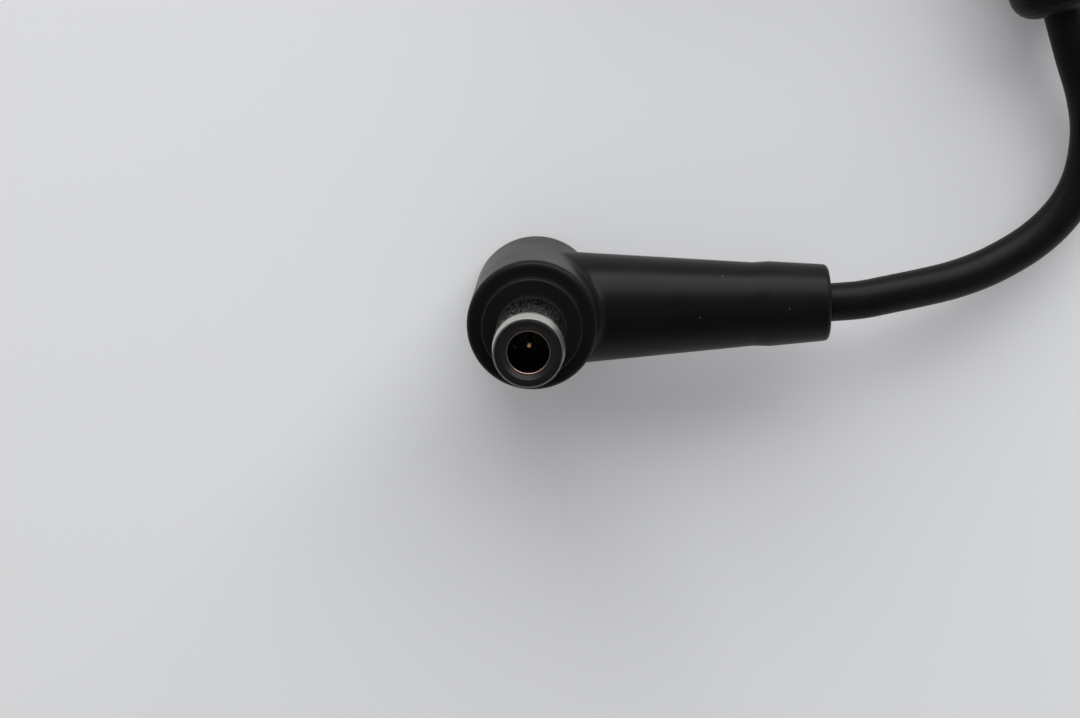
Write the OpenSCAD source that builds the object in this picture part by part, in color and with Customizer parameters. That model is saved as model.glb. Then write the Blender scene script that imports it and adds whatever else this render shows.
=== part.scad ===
// Right-angle laptop power plug: a barrel with a spring contact and a centre
// pin, moulded into a round head with an arm, on a cord with a ferrite bead.
// Millimetres. +Z is the direction of the barrel and +X that of the arm.
// The origin is the centre of the head's flat back.

/* [Head] */
// Diameter of the round head
head_d = 14; // [13.4:0.1:18]
// Height of the head, from its flat back to its front face
head_height = 18.5; // [17.5:0.5:24]
// Radius of the rounding round the back
back_round = 0.8; // [0.2:0.1:0.9]
// Radius of the rounding round the front face
front_round = 0.7; // [0.2:0.1:0.8]

/* [Boss] */
// Width of the front face round the boss, on the radius
boss_margin = 1.3; // [1:0.1:1.7]
// Height of the boss in front of the front face
boss_height = 1.5; // [1:0.1:3]
// Height of the step round the foot of the boss
boss_step = 0.35; // [0.2:0.05:0.6]
// How far the boss narrows above its step, on the radius
boss_draft = 0.35; // [0.2:0.05:0.6]

/* [Arm] */
// Height of the arm's centre line above the head's back
arm_height = 8.2; // [8:0.1:9]
// Length of the arm, from the barrel's centre line to its end face
arm_length = 32.4; // [29:0.1:42]
// How much less than the head's radius the arm's taper has at the barrel's centre line
arm_inset = 0.45; // [0.35:0.05:1]
// Diameter of the waist in front of the collar
waist_d = 9.24; // [8.8:0.02:10.4]
// Width of the waist, from the end of the taper to the collar
waist_width = 1.8; // [0.5:0.1:3]
// Length of the collar at the arm's end
collar_length = 6.5; // [4:0.5:9]
// Diameter of the collar where it starts
collar_d = 9.4; // [9:0.02:10.8]
// Diameter of the collar at the arm's end
collar_end_d = 8.5; // [7.6:0.1:9.2]
// Radius of the rounding round the arm's end
arm_end_round = 0.6; // [0.2:0.1:1]
// Radius of the hollow blend between the arm and the head
blend_radius = 1.3; // [0.6:0.1:1.4]

/* [Barrel] */
// Outside diameter of the outer sleeve
barrel_d = 7.4; // [7:0.1:7.9]
// Length of the barrel in front of the boss
barrel_length = 12.5; // [10:0.5:15]
// Wall of the outer sleeve
sleeve_wall = 0.2; // [0.15:0.05:0.4]
// Length of the lead-in at the sleeve's mouth
lead_in_length = 2.4; // [1:0.1:4]
// How far the lead-in narrows the sleeve, on the radius
lead_in_drop = 0.15; // [0.05:0.01:0.2]
// Radius of the rounding on the sleeve's rim
rim_round = 0.12; // [0.05:0.01:0.15]
// Diameter of the flange that holds the sleeve in the inner mould
flange_d = 9; // [8.4:0.1:10]
// Thickness of the flange
flange_thickness = 0.8; // [0.4:0.1:1]
// How much thicker the sleeve's root is inside the inner mould, on the radius
root_step = 0.2; // [0.2:0.05:0.5]
// Depth below the boss at which the root starts
root_depth = 0.1; // [0.05:0.05:0.15]

/* [Contacts] */
// Bore of the spring contact behind its mouth
contact_bore = 5.1; // [4.8:0.1:5.3]
// Diameter of the spring contact's mouth
contact_mouth = 4.2; // [4:0.1:4.7]
// Wall of the spring contact
contact_wall = 0.2; // [0.15:0.05:0.35]
// Depth of the bore, from the barrel's front to the pin holder
bore_depth = 13.5; // [11:0.5:15]
// How far the spring contact's rolled mouth stands behind the barrel's front
mouth_set_back = 0.28; // [0.2:0.02:0.6]
// How much wider than the contact's mouth the insulator opens in front, on the radius
mouth_bevel = 0.45; // [0.2:0.05:0.6]
// Number of slots between the springs
slot_count = 4; // [3:1:6]
// Width of a slot
slot_width = 0.5; // [0.3:0.05:0.7]
// Length of a slot
slot_length = 7; // [4:0.5:9]
// How far the springs bow inwards at their middle
spring_bow = 0.2; // [0.05:0.05:0.3]
// Diameter of the centre pin
pin_d = 0.6; // [0.4:0.1:0.8]
// How far the pin's tip stands behind the barrel's front
pin_set_back = 4; // [2:0.5:7]

/* [Lugs] */
// Thickness of the sheet that the lugs are cut from
lug_sheet = 0.3; // [0.2:0.05:0.4]
// Width of the negative lug's strap
strap_width = 2.2; // [1.4:0.2:2.8]
// Length of the crimp round the cord's jacket
crimp_length = 2.4; // [1.5:0.1:3]

/* [Cord] */
// Outside diameter of the cord
cord_d = 4.3; // [4:0.1:4.6]
// Wall of the cord's jacket
jacket_wall = 0.5; // [0.4:0.05:0.55]
// Thickness of the shield of fine wires under the jacket
shield_wall = 0.2; // [0.1:0.05:0.2]
// Diameter of the positive wire over its insulation
positive_d = 1.4; // [1.1:0.1:1.4]
// Diameter of the positive wire's conductor
positive_core_d = 0.9; // [0.5:0.1:0.9]
// Diameter of the signal wire over its insulation
signal_d = 1; // [0.7:0.1:1]
// Diameter of the signal wire's conductor
signal_core_d = 0.5; // [0.3:0.1:0.5]

/* [Ferrite bead] */
// Diameter of the bead's moulded cover
bead_d = 10.4; // [9.6:0.1:13]
// Length of the bead's moulded cover
bead_length = 25; // [20:0.5:26]
// Radius of the rounding round each end of the cover
bead_round = 2.6; // [1:0.1:2.8]
// Diameter of the ferrite core
ferrite_d = 8.2; // [7:0.1:8.4]
// Length of the ferrite core
ferrite_length = 17; // [10:0.5:18]
// Bore of the ferrite core
ferrite_bore = 5; // [4.8:0.1:5.6]

/* [Coil] */
// Number of turns side by side in the coil
coil_columns = 3; // [2:1:3]
// Number of layers of turns in the coil
coil_layers = 2; // [1:1:3]
// Radius of the coil's innermost turn, at the cord's centre
coil_first_r = 20; // [18:0.5:24]
// Space between neighbouring turns
coil_gap = 0.1; // [0.05:0.05:0.3]

/* [Bare ends] */
// Length of the insulated wires past the end of the jacket
wire_length = 8; // [4:0.5:12]
// Length of the tinned tips past the insulation
tinned_length = 4; // [2:0.5:6]
// Diameter of the shield's wires, twisted together and tinned
shield_lead_d = 1.1; // [0.8:0.1:1.1]

/* [Hidden] */
$fn = 64;

eps = 0.01;

// How far the blend's edges stand proud of the head and the arm, and how far
// their roots reach in
blend_lift = 0.012;
blend_root = 0.3;

// Heights along the barrel
face_z = head_height;
boss_z = face_z + boss_height;
root_z = boss_z - root_depth;
tip_z = boss_z + barrel_length;
bore_end_z = tip_z - bore_depth;
mouth_z = tip_z - mouth_set_back;

// Radii of the barrel's nested pieces, from the outside in
sleeve_r = barrel_d / 2;
root_r = sleeve_r + root_step;
sleeve_bore_r = sleeve_r - sleeve_wall;
contact_bore_r = contact_bore / 2;
contact_r = contact_bore_r + contact_wall;
mouth_r = contact_mouth / 2;
rim_r = sleeve_r - lead_in_drop;
tip_ring_r = rim_r - sleeve_wall;

// The flange's rear, and the rear ends of the nested pieces, each a step behind
// the one outside it
flange_depth = 3.5;
sleeve_tail = 2;
rear_step = 1;
flange_z = face_z - flange_depth;
sleeve_rear_z = flange_z - sleeve_tail;
insulator_rear_z = sleeve_rear_z - rear_step;
contact_rear_z = insulator_rear_z - rear_step;
holder_rear_z = contact_rear_z + rear_step / 2;

// The arm's taper
arm_r = head_d / 2 - arm_inset;
collar_x = arm_length - collar_length;
waist_x = collar_x - waist_width;
taper = (arm_r - waist_d / 2) / waist_x;
taper_angle = atan(taper);
exit_lip = 0.2;
exit_x = arm_length + exit_lip;

// The inner mould, whose stub holds the cord's stripped end
stub_d = 7.2;
stub_end_x = 13;
stub_floor = 0.6;
mould_rear_z = arm_height - stub_d / 2 - stub_floor;
step_r = head_d / 2 - boss_margin;
boss_r = step_r - boss_draft;
boss_round = 0.25;

// The cord in the arm, where its layers are stripped back one after another
jacket_bore_r = cord_d / 2 - jacket_wall;
shield_bore_r = jacket_bore_r - shield_wall;
jacket_start_x = 8.6;
shield_start_x = 6.6;
positive_start_x = contact_r + lug_sheet + 1;
positive_core_start_x = contact_r - 0.5;
signal_start_x = 1.4;
signal_core_start_x = -0.8;
wire_gap = 0.12;
positive_y = (signal_d + wire_gap) / 2;
signal_y = -(positive_d + wire_gap) / 2;

// The lugs
crimp_x = jacket_start_x + 1;
strap_z = arm_height + cord_d / 2;
lug_ring_height = 0.9;
tag_drop = 1;
solder_r = 0.8;
solder_film = 0.05;

// The pin's tail ends just below the signal wire, and a collar holds the pin
pin_tail_drop = 0.6;
pin_tail_z = arm_height - pin_tail_drop;
pin_collar_d = pin_d + 0.5;
pin_collar_z = bore_end_z - 3;
pin_collar_height = 0.6;

// The spring contact narrows to its mouth over this length
neck_length = 1.2;
neck_z = mouth_z - neck_length;
slot_z = bore_end_z + 1;

// The bead lies on the surface, and its centre line passes bead_start
bead_start = [58, 31];
bead_heading = [-0.28, 0.96];
bead_z = bead_d / 2;

// The coil lies on the surface, wound anticlockwise from its outermost turn
coil_centre = [23.5, 84.5];
coil_pitch = cord_d + coil_gap;
coil_outer_r = coil_first_r + (coil_columns - 1) * coil_pitch;
coil_top_z = (coil_layers - 0.5) * cord_d;

// The cord's route from the arm to the bead, from the bead to the coil, and
// from the coil to its end, where it lies on the surface
floor_z = cord_d / 2;
route_to_bead = [
    [36, 0.2, 8.1], [39.5, 0.7, 7.5], [43, 1.2, 6.7], [46.5, 1.8, 5.8],
    [50, 2.8, 4.9], [53, 4.1, 4.2], [55.6, 5.6, 3.7], [57.8, 7.4, 3.4],
    [59.6, 9.5, 3.2], [60.9, 12, 3.1], [61.6, 14.9, 3.1], [61.7, 18.3, 3.4],
    [60.9, 22, 4.3]
];
route_to_coil = [
    [49.4, 64.6, 4.5], [50.1, 69.4, 3.1], [51.2, 74.2, 2.3], [52.1, 79, floor_z]
];
route_of_tail = [
    [52.4, 89.8, 6.4], [53, 94.6, 6.2], [54.1, 99, 5.1], [55.4, 102.8, 3.4], [56.7, 106.3, 2.4]
];
tail_end = [57.8, 109.9, floor_z];
tail_heading = [0.28, 0.96];
ring_sides = 12;
steps_per_point = 2;

function at(start, heading, s, z) = [start.x + s * heading.x, start.y + s * heading.y, z];

run_points = concat(
    [[exit_x, 0, arm_height]],
    route_to_bead,
    [for (s = [-5 : 5 : bead_length + 5]) at(bead_start, bead_heading, s, bead_z)],
    route_to_coil,
    [[coil_centre.x + coil_outer_r, coil_centre.y, floor_z]]
);
tail_points = concat(
    [[coil_centre.x + coil_outer_r, coil_centre.y, coil_top_z]],
    route_of_tail,
    [tail_end]
);

// A point on the smooth curve through p1 and p2, where t runs from 0 to 1
function spline(p0, p1, p2, p3, t) =
    (2 * p1 + (p2 - p0) * t + (2 * p0 - 5 * p1 + 4 * p2 - p3) * t * t
    + (3 * p1 - p0 - 3 * p2 + p3) * t * t * t) / 2;

function smooth(points, steps) = let (last = len(points) - 1) concat(
    [for (i = [0 : last - 1], k = [0 : steps - 1]) spline(
        points[max(i - 1, 0)], points[i], points[i + 1], points[min(i + 2, last)], k / steps
    )],
    [points[last]]
);

function unit(v) = v / norm(v);

// A ring of points round p, square to the direction along
function ring(p, along, r, sides) = let (
    side = unit(cross(along, [0, 0, 1])),
    up = cross(side, along)
) [for (k = [0 : sides - 1]) p + r * (cos(360 * k / sides) * side + sin(360 * k / sides) * up)];

// A round tube swept along points, whose flat ends are square to from and to
module swept(points, r, sides, from, to) {
    last = len(points) - 1;
    rings = [for (i = [0 : last]) ring(
        points[i],
        i == 0 ? unit(from) : i == last ? unit(to) : unit(points[i + 1] - points[i - 1]),
        r, sides
    )];
    walls = [for (i = [0 : last - 1], k = [0 : sides - 1]) let (
        a = i * sides + k,
        b = i * sides + (k + 1) % sides
    ) each [[a, a + sides, b], [b, a + sides, b + sides]]];
    caps = [
        [for (k = [0 : sides - 1]) k],
        [for (k = [sides - 1 : -1 : 0]) last * sides + k]
    ];
    polyhedron([for (r = rings) each r], concat(walls, caps), convexity = 8);
}

// Profile points on an arc round c, between two angles
function arc(c, r, from, to, steps = 6) =
    [for (k = [0 : steps]) let (a = from + (to - from) * k / steps) c + r * [cos(a), sin(a)]];

// Puts what is drawn round +Z onto the arm's centre line, with +Z along +X
module on_arm() {
    translate([0, 0, arm_height]) rotate([0, 90, 0]) children();
}

// A tube, or a rod where bore is 0, on the arm's centre line
module arm_tube(d, bore, from, to, y = 0) {
    translate([0, y, 0]) on_arm() translate([0, 0, from]) difference() {
        cylinder(d = d, h = to - from);
        if (bore > 0) translate([0, 0, -1]) cylinder(d = bore, h = to - from + 2);
    }
}

// --- the moulded head and arm ---

module head_form() {
    rotate_extrude() polygon(concat(
        [[0, 0]],
        arc([head_d / 2 - back_round, back_round], back_round, -90, 0),
        arc([head_d / 2 - front_round, face_z - front_round], front_round, 0, 90),
        [[0, face_z]]
    ));
}

module arm_form() {
    on_arm() rotate_extrude() polygon(concat(
        [[0, 0], [arm_r, 0], [waist_d / 2, waist_x], [collar_d / 2, collar_x]],
        arc(
            [collar_end_d / 2 - arm_end_round, arm_length - arm_end_round],
            arm_end_round, 0, 90
        ),
        [[cord_d / 2 + exit_lip, arm_length], [cord_d / 2 + exit_lip / 4, exit_x], [0, exit_x]]
    ));
}

// Radius of the arm's taper at x, measured to the centre of a ball on it
function ball_reach(x) = arm_r - taper * x + blend_radius / cos(taper_angle);

// Where a ball that touches the head and the arm stands, at an angle round the arm
function ball_x(angle, x, tries) = tries == 0 ? x : ball_x(
    angle,
    sqrt(pow(head_d / 2 + blend_radius, 2) - pow(ball_reach(x) * sin(angle), 2)),
    tries - 1
);

// One section of the blend: a point inside both forms, and an arc on the ball
// between two points that reach into the head and into the arm
function blend_section(angle, steps) = let (
    x = ball_x(angle, head_d / 2, 8),
    r = ball_reach(x),
    ball = [x, r * sin(angle), arm_height + r * cos(angle)],
    to_head = -unit([ball.x, ball.y, 0]),
    to_arm = -[
        sin(taper_angle),
        cos(taper_angle) * sin(angle),
        cos(taper_angle) * cos(angle)
    ],
    between = acos(to_head * to_arm)
) concat(
    [ball + 2.2 * blend_radius * unit(to_head + to_arm)],
    [ball + (blend_radius + blend_root) * to_head],
    [for (k = [0 : steps]) let (t = k / steps)
        ball + (blend_radius - blend_lift)
            * (sin((1 - t) * between) * to_head + sin(t * between) * to_arm) / sin(between)],
    [ball + (blend_radius + blend_root) * to_arm]
);

// The hollow blend, as a ball would leave it when rolled round the corner
module blend_form(sections = 60, steps = 6) {
    size = steps + 4;
    points = [for (i = [0 : sections - 1]) each blend_section(360 * i / sections, steps)];
    polyhedron(points, [for (i = [0 : sections - 1], k = [0 : size - 1]) let (
        a = i * size + k,
        b = i * size + (k + 1) % size,
        c = ((i + 1) % sections) * size + k,
        d = ((i + 1) % sections) * size + (k + 1) % size
    ) each [[a, c, b], [b, c, d]]], convexity = 6);
}

module overmould() {
    color("#1c1c1e") difference() {
        union() {
            head_form();
            arm_form();
            blend_form();
        }
        inner_mould_form(eps);
        arm_tube(cord_d, 0, stub_end_x - eps, exit_x + 1);
    }
}

// --- the inner mould, which holds the barrel and the lugs ---

// The inner mould's outside; past lifts its foot step clear of the front face
module inner_mould_form(past = 0) {
    rotate_extrude() polygon(concat(
        [[0, mould_rear_z], [step_r, mould_rear_z], [step_r, face_z + boss_step + past]],
        [[boss_r + boss_draft / 3, face_z + boss_step + past]],
        arc([boss_r - boss_round, boss_z - boss_round], boss_round, 0, 90, 4),
        [[0, boss_z]]
    ));
    arm_tube(stub_d, 0, 0, stub_end_x);
}

// The room that the barrel's nested pieces take up in the inner mould
module barrel_room() {
    rotate_extrude() polygon([
        [0, contact_rear_z], [contact_r, contact_rear_z], [contact_r, insulator_rear_z],
        [sleeve_bore_r, insulator_rear_z], [sleeve_bore_r, sleeve_rear_z],
        [root_r, sleeve_rear_z], [root_r, flange_z],
        [flange_d / 2, flange_z], [flange_d / 2, flange_z + flange_thickness],
        [root_r, flange_z + flange_thickness], [root_r, root_z], [sleeve_r, root_z],
        [sleeve_r, boss_z + 1], [0, boss_z + 1]
    ]);
}

// The room that the stripped cord takes up in the inner mould
module wire_room() {
    arm_tube(cord_d, 0, jacket_start_x, stub_end_x + 1);
    arm_tube(2 * jacket_bore_r, 0, shield_start_x, jacket_start_x + 1);
    arm_tube(positive_d, 0, positive_start_x, shield_start_x + 1, positive_y);
    arm_tube(positive_core_d, 0, positive_core_start_x, positive_start_x + 1, positive_y);
    arm_tube(signal_d, 0, signal_start_x, shield_start_x + 1, signal_y);
    arm_tube(signal_core_d, 0, signal_core_start_x, signal_start_x + 1, signal_y);
}

module inner_mould() {
    color("#151517") difference() {
        inner_mould_form();
        barrel_room();
        translate([0, 0, pin_tail_z]) cylinder(d = pin_d, h = contact_rear_z - pin_tail_z + 1);
        wire_room();
        negative_lug_form();
        positive_lug_form();
        negative_solder_form();
        positive_solder_form();
        signal_solder_form();
    }
}

// --- the barrel, from the outside in ---

module outer_sleeve() {
    color("#b9b9b4") rotate_extrude() polygon(concat(
        [
            [sleeve_bore_r, sleeve_rear_z], [root_r, sleeve_rear_z], [root_r, flange_z],
            [flange_d / 2, flange_z], [flange_d / 2, flange_z + flange_thickness],
            [root_r, flange_z + flange_thickness], [root_r, root_z], [sleeve_r, root_z],
            [sleeve_r, tip_z - lead_in_length]
        ],
        arc([rim_r - rim_round, tip_z - rim_round], rim_round, 0, 90),
        [[tip_ring_r, tip_z], [sleeve_bore_r, tip_z - lead_in_length]]
    ));
}

// The black insulator, whose front ring closes the gap between the sleeve's rim
// and the contact's mouth
module sleeve_insulator() {
    edge = 0.2;
    color("#1d1d1f") rotate_extrude() polygon(concat(
        [
            [contact_r, insulator_rear_z], [sleeve_bore_r, insulator_rear_z],
            [sleeve_bore_r, tip_z - lead_in_length]
        ],
        [[tip_ring_r, tip_z - edge]],
        arc([tip_ring_r - edge, tip_z - edge], edge, 15, 90, 4),
        [
            [mouth_r + contact_wall + mouth_bevel, tip_z], [mouth_r + contact_wall, mouth_z],
            [contact_r, neck_z]
        ]
    ));
}

// How far the springs bow inwards, where t runs from 0 to 1 along them
function bow(t) = spring_bow * pow(sin(180 * t), 2);

module spring_contact() {
    lip = contact_wall / 2;
    root = 0.35;
    steps = 9;
    inner = [for (k = [0 : steps]) let (t = k / steps)
        [contact_bore_r - bow(t), slot_z - root + (slot_length + 2 * root) * t]];
    color("#b08350") difference() {
        rotate_extrude() polygon(concat(
            [[contact_bore_r, contact_rear_z], [contact_r, contact_rear_z]],
            [for (p = inner) p + [contact_wall, 0]],
            [[contact_r, neck_z], [mouth_r + contact_wall, mouth_z - lip]],
            arc([mouth_r + lip, mouth_z - lip], lip, 0, 180),
            [[contact_bore_r, neck_z]],
            [for (k = [steps : -1 : 0]) inner[k]]
        ));
        for (k = [0 : slot_count - 1]) rotate([0, 0, 360 * (k + 0.5) / slot_count])
            translate([contact_bore_r / 2, -slot_width / 2, slot_z])
                cube([contact_bore_r, slot_width, slot_length]);
    }
}

// The pin's outline, turned about the barrel's centre line
module pin_form() {
    r = pin_d / 2;
    end_z = tip_z - pin_set_back;
    rotate_extrude() polygon(concat(
        [
            [0, pin_tail_z], [r, pin_tail_z], [r, pin_collar_z], [pin_collar_d / 2, pin_collar_z],
            [pin_collar_d / 2, pin_collar_z + pin_collar_height],
            [r, pin_collar_z + pin_collar_height]
        ],
        arc([0, end_z - r], r, 0, 90)
    ));
}

module pin_holder() {
    color("#161616") difference() {
        translate([0, 0, holder_rear_z])
            cylinder(r = contact_bore_r, h = bore_end_z - holder_rear_z);
        pin_form();
    }
}

module centre_pin() {
    color("#c9a24b") pin_form();
}

// --- the lugs and their solder ---

// A ring round the sleeve, a strap down to the cord and a crimp round its jacket
module negative_lug_form() {
    ring_z = flange_z - lug_ring_height;
    crimp_end_x = crimp_x + crimp_length;
    difference() {
        union() {
            translate([0, 0, ring_z]) cylinder(r = root_r + lug_sheet, h = lug_ring_height);
            translate([root_r, -strap_width / 2, strap_z])
                cube([lug_sheet, strap_width, flange_z - strap_z]);
        }
        translate([0, 0, ring_z - 1]) cylinder(r = root_r, h = lug_ring_height + 2);
    }
    translate([root_r, -strap_width / 2, strap_z])
        cube([crimp_end_x - root_r, strap_width, lug_sheet]);
    arm_tube(cord_d + 2 * lug_sheet, cord_d, crimp_x, crimp_end_x);
}

// A ring round the spring contact's rear and a tag that the positive wire passes
module positive_lug_form() {
    difference() {
        union() {
            translate([0, 0, contact_rear_z])
                cylinder(r = contact_r + lug_sheet, h = lug_ring_height);
            translate([contact_r, positive_y - positive_d / 2, arm_height - tag_drop])
                cube([
                    lug_sheet, positive_d,
                    contact_rear_z + lug_ring_height - arm_height + tag_drop
                ]);
        }
        translate([0, 0, contact_rear_z - 1]) cylinder(r = contact_r, h = lug_ring_height + 2);
        arm_tube(positive_core_d, 0, 0, positive_start_x, positive_y);
    }
}

module negative_solder_form() {
    foot = arm_height + shield_bore_r / 2;
    difference() {
        translate([(shield_start_x + jacket_start_x) / 2, 0, foot])
            cylinder(r = solder_r, h = strap_z - foot);
        arm_tube(2 * jacket_bore_r, 0, shield_start_x - 1, jacket_start_x);
    }
}

module positive_solder_form() {
    height = contact_r - positive_core_start_x;
    difference() {
        translate([positive_core_start_x, positive_y, arm_height]) rotate([0, 90, 0]) cylinder(
            r1 = positive_core_d / 2 + solder_film, r2 = positive_d / 2, h = height
        );
        arm_tube(positive_core_d, 0, 0, positive_start_x, positive_y);
    }
}

module signal_solder_form() {
    difference() {
        translate([0, signal_y / 2, arm_height]) sphere(r = solder_r);
        pin_form();
        arm_tube(signal_core_d, 0, signal_core_start_x, signal_start_x, signal_y);
    }
}

module negative_lug() {
    color("#c4c2ba") negative_lug_form();
}

module positive_lug() {
    color("#b08350") positive_lug_form();
}

module negative_solder() {
    color("#a9abad") negative_solder_form();
}

module positive_solder() {
    color("#a9abad") positive_solder_form();
}

module signal_solder() {
    color("#a9abad") signal_solder_form();
}

// --- the cord's layers inside the arm ---

module jacket_end() {
    color("#202022") arm_tube(cord_d, 2 * jacket_bore_r, jacket_start_x, exit_x);
}

module shield_end() {
    color("#b77b4c") arm_tube(2 * jacket_bore_r, 2 * shield_bore_r, shield_start_x, exit_x);
}

module positive_insulation() {
    color("#e4e2da") arm_tube(positive_d, positive_core_d, positive_start_x, exit_x, positive_y);
}

module positive_conductor() {
    color("#b77b4c") arm_tube(positive_core_d, 0, positive_core_start_x, exit_x, positive_y);
}

module signal_insulation() {
    color("#2f5f9f") arm_tube(signal_d, signal_core_d, signal_start_x, exit_x, signal_y);
}

module signal_conductor() {
    color("#b77b4c") arm_tube(signal_core_d, 0, signal_core_start_x, exit_x, signal_y);
}

// --- the ferrite bead on the cord ---

// Puts what is drawn round +Z onto the bead's centre line
module on_bead() {
    translate([bead_start.x, bead_start.y, bead_z])
        rotate([0, 90, atan2(bead_heading.y, bead_heading.x)]) children();
}

module ferrite_core() {
    color("#3a3a3c") on_bead() translate([0, 0, (bead_length - ferrite_length) / 2]) difference() {
        cylinder(d = ferrite_d, h = ferrite_length);
        translate([0, 0, -1]) cylinder(d = ferrite_bore, h = ferrite_length + 2);
    }
}

module bead_cover() {
    r = bead_d / 2;
    color("#171719") on_bead() difference() {
        rotate_extrude() polygon(concat(
            [[0, 0]],
            arc([r - bead_round, bead_round], bead_round, -90, 0),
            arc([r - bead_round, bead_length - bead_round], bead_round, 0, 90),
            [[0, bead_length]]
        ));
        translate([0, 0, -1]) cylinder(d = cord_d, h = bead_length + 2);
        translate([0, 0, (bead_length - ferrite_length) / 2])
            cylinder(d = ferrite_d, h = ferrite_length);
    }
}

// --- the free cord, its coil and its bare end ---

module cord_run() {
    color("#202022") swept(
        smooth(run_points, steps_per_point), cord_d / 2, ring_sides, [1, 0, 0], [0, 1, 0]
    );
}

module cord_coil() {
    color("#202022") translate([coil_centre.x, coil_centre.y, 0]) rotate_extrude() union() {
        for (column = [0 : coil_columns - 1], layer = [0 : coil_layers - 1])
            translate([coil_first_r + column * coil_pitch, (layer + 0.5) * cord_d])
                circle(d = cord_d);
        translate([coil_first_r, cord_d / 4])
            square([(coil_columns - 1) * coil_pitch, (coil_layers - 0.5) * cord_d]);
    }
}

module cord_tail() {
    color("#202022") swept(
        smooth(tail_points, steps_per_point), cord_d / 2, ring_sides,
        [0, 1, 0], [tail_heading.x, tail_heading.y, 0]
    );
}

// Puts what is drawn round +Z onto the centre line of the cord's bare end
module on_tail() {
    translate(tail_end) rotate([0, 90, atan2(tail_heading.y, tail_heading.x)]) children();
}

// A tube, or a rod where bore is 0, that leaves the bare end y off its centre line
module tail_tube(d, bore, length, y) {
    on_tail() translate([0, y, 0]) difference() {
        cylinder(d = d, h = length);
        if (bore > 0) translate([0, 0, -1]) cylinder(d = bore, h = length + 2);
    }
}

// The shield's wires leave above the others and bend aside, down to the surface
module tail_shield() {
    route = [[0, 0, 1.3], [3, 0.9, 1.35], [6, 2.1, 0.9], [9, 3, 0], [12, 3.6, -0.9]];
    color("#a9abad") translate(tail_end) rotate([0, 0, atan2(tail_heading.y, tail_heading.x)])
        swept(smooth(route, 2), shield_lead_d / 2, 8, [1, 0, 0], [1, 0.2, -0.3]);
}

module tail_positive_insulation() {
    color("#e4e2da") tail_tube(positive_d, positive_core_d, wire_length, positive_y);
}

module tail_positive_tip() {
    color("#a9abad") tail_tube(positive_core_d, 0, wire_length + tinned_length, positive_y);
}

module tail_signal_insulation() {
    color("#2f5f9f") tail_tube(signal_d, signal_core_d, wire_length, signal_y);
}

module tail_signal_tip() {
    color("#a9abad") tail_tube(signal_core_d, 0, wire_length + tinned_length, signal_y);
}

overmould();
inner_mould();
outer_sleeve();
sleeve_insulator();
spring_contact();
pin_holder();
centre_pin();
negative_lug();
positive_lug();
negative_solder();
positive_solder();
signal_solder();
jacket_end();
shield_end();
positive_insulation();
positive_conductor();
signal_insulation();
signal_conductor();
ferrite_core();
bead_cover();
cord_run();
cord_coil();
cord_tail();
tail_shield();
tail_positive_insulation();
tail_positive_tip();
tail_signal_insulation();
tail_signal_tip();
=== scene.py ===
"""Dresses a right-angle laptop power plug with its cord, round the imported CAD.

Metres. +Z is the direction of the barrel and +X that of the arm. The origin is
the centre of the head's flat back, and the floor is the plane z = 0.
"""

import logging
import math
from dataclasses import dataclass
from enum import Enum
from typing import Any, Sequence

import bmesh
import bpy
from mathutils import Matrix, Vector


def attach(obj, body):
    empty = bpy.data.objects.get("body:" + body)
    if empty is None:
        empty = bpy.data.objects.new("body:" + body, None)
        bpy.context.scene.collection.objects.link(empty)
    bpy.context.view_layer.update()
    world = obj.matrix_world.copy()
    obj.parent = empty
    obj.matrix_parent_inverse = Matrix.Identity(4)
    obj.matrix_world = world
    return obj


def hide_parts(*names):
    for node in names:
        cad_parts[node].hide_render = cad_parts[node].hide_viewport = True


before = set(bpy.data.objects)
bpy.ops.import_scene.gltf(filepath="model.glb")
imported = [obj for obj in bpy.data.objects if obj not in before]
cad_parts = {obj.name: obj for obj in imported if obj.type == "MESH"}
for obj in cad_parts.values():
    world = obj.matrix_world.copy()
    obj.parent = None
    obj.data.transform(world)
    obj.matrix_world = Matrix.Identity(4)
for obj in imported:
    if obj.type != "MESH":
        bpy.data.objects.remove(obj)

LOG = logging.getLogger("plug")
MM = 0.001
Point = tuple[float, float, float]

# Edges of a new piece that turn more than this stay sharp.
SHARP_DEGREES = 38
# Faces round a turned piece.
SPIN_STEPS = 48
# Points of a new piece that are closer than this, in metres, are one.
MERGE_DISTANCE = 1e-7
# A step in height outranks any in Y, and one in Y any in X, by this many times.
RANK_STEP = 1e3
# The middle of a round lies this share of its size inside the corner it rounds.
ARC_MIDDLE = 0.3
# A knot's handle is this many times shorter than the way between its neighbours.
HANDLE_DIVISOR = 6
# Strands that lie side by side across a bundle: one, the middle one, and one.
STRANDS_ACROSS = 3
# The levels of the mottle's noise between which colour and gloss change.
MOTTLE_COLOUR_STOPS = ((0.35, 0.0), (0.65, 1.0))
MOTTLE_GLOSS_RANGE = (0.3, 0.7)
# Specks of dust are about this far apart, before most are left out.
DUST_CELL_MM = 1.2


# --- colours and nodes ---


def linear(colour: str) -> tuple[float, float, float, float]:
    """Turns an sRGB hex colour into the linear colour that Blender takes.

    Args:
        colour: Six hex digits with a leading hash.

    Returns:
        Red, green, blue and an alpha of 1.
    """
    levels = [int(colour[i : i + 2], 16) / 255 for i in (1, 3, 5)]
    red, green, blue = (
        v / 12.92 if v <= 0.04045 else ((v + 0.055) / 1.055) ** 2.4 for v in levels
    )
    return red, green, blue, 1.0


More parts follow.
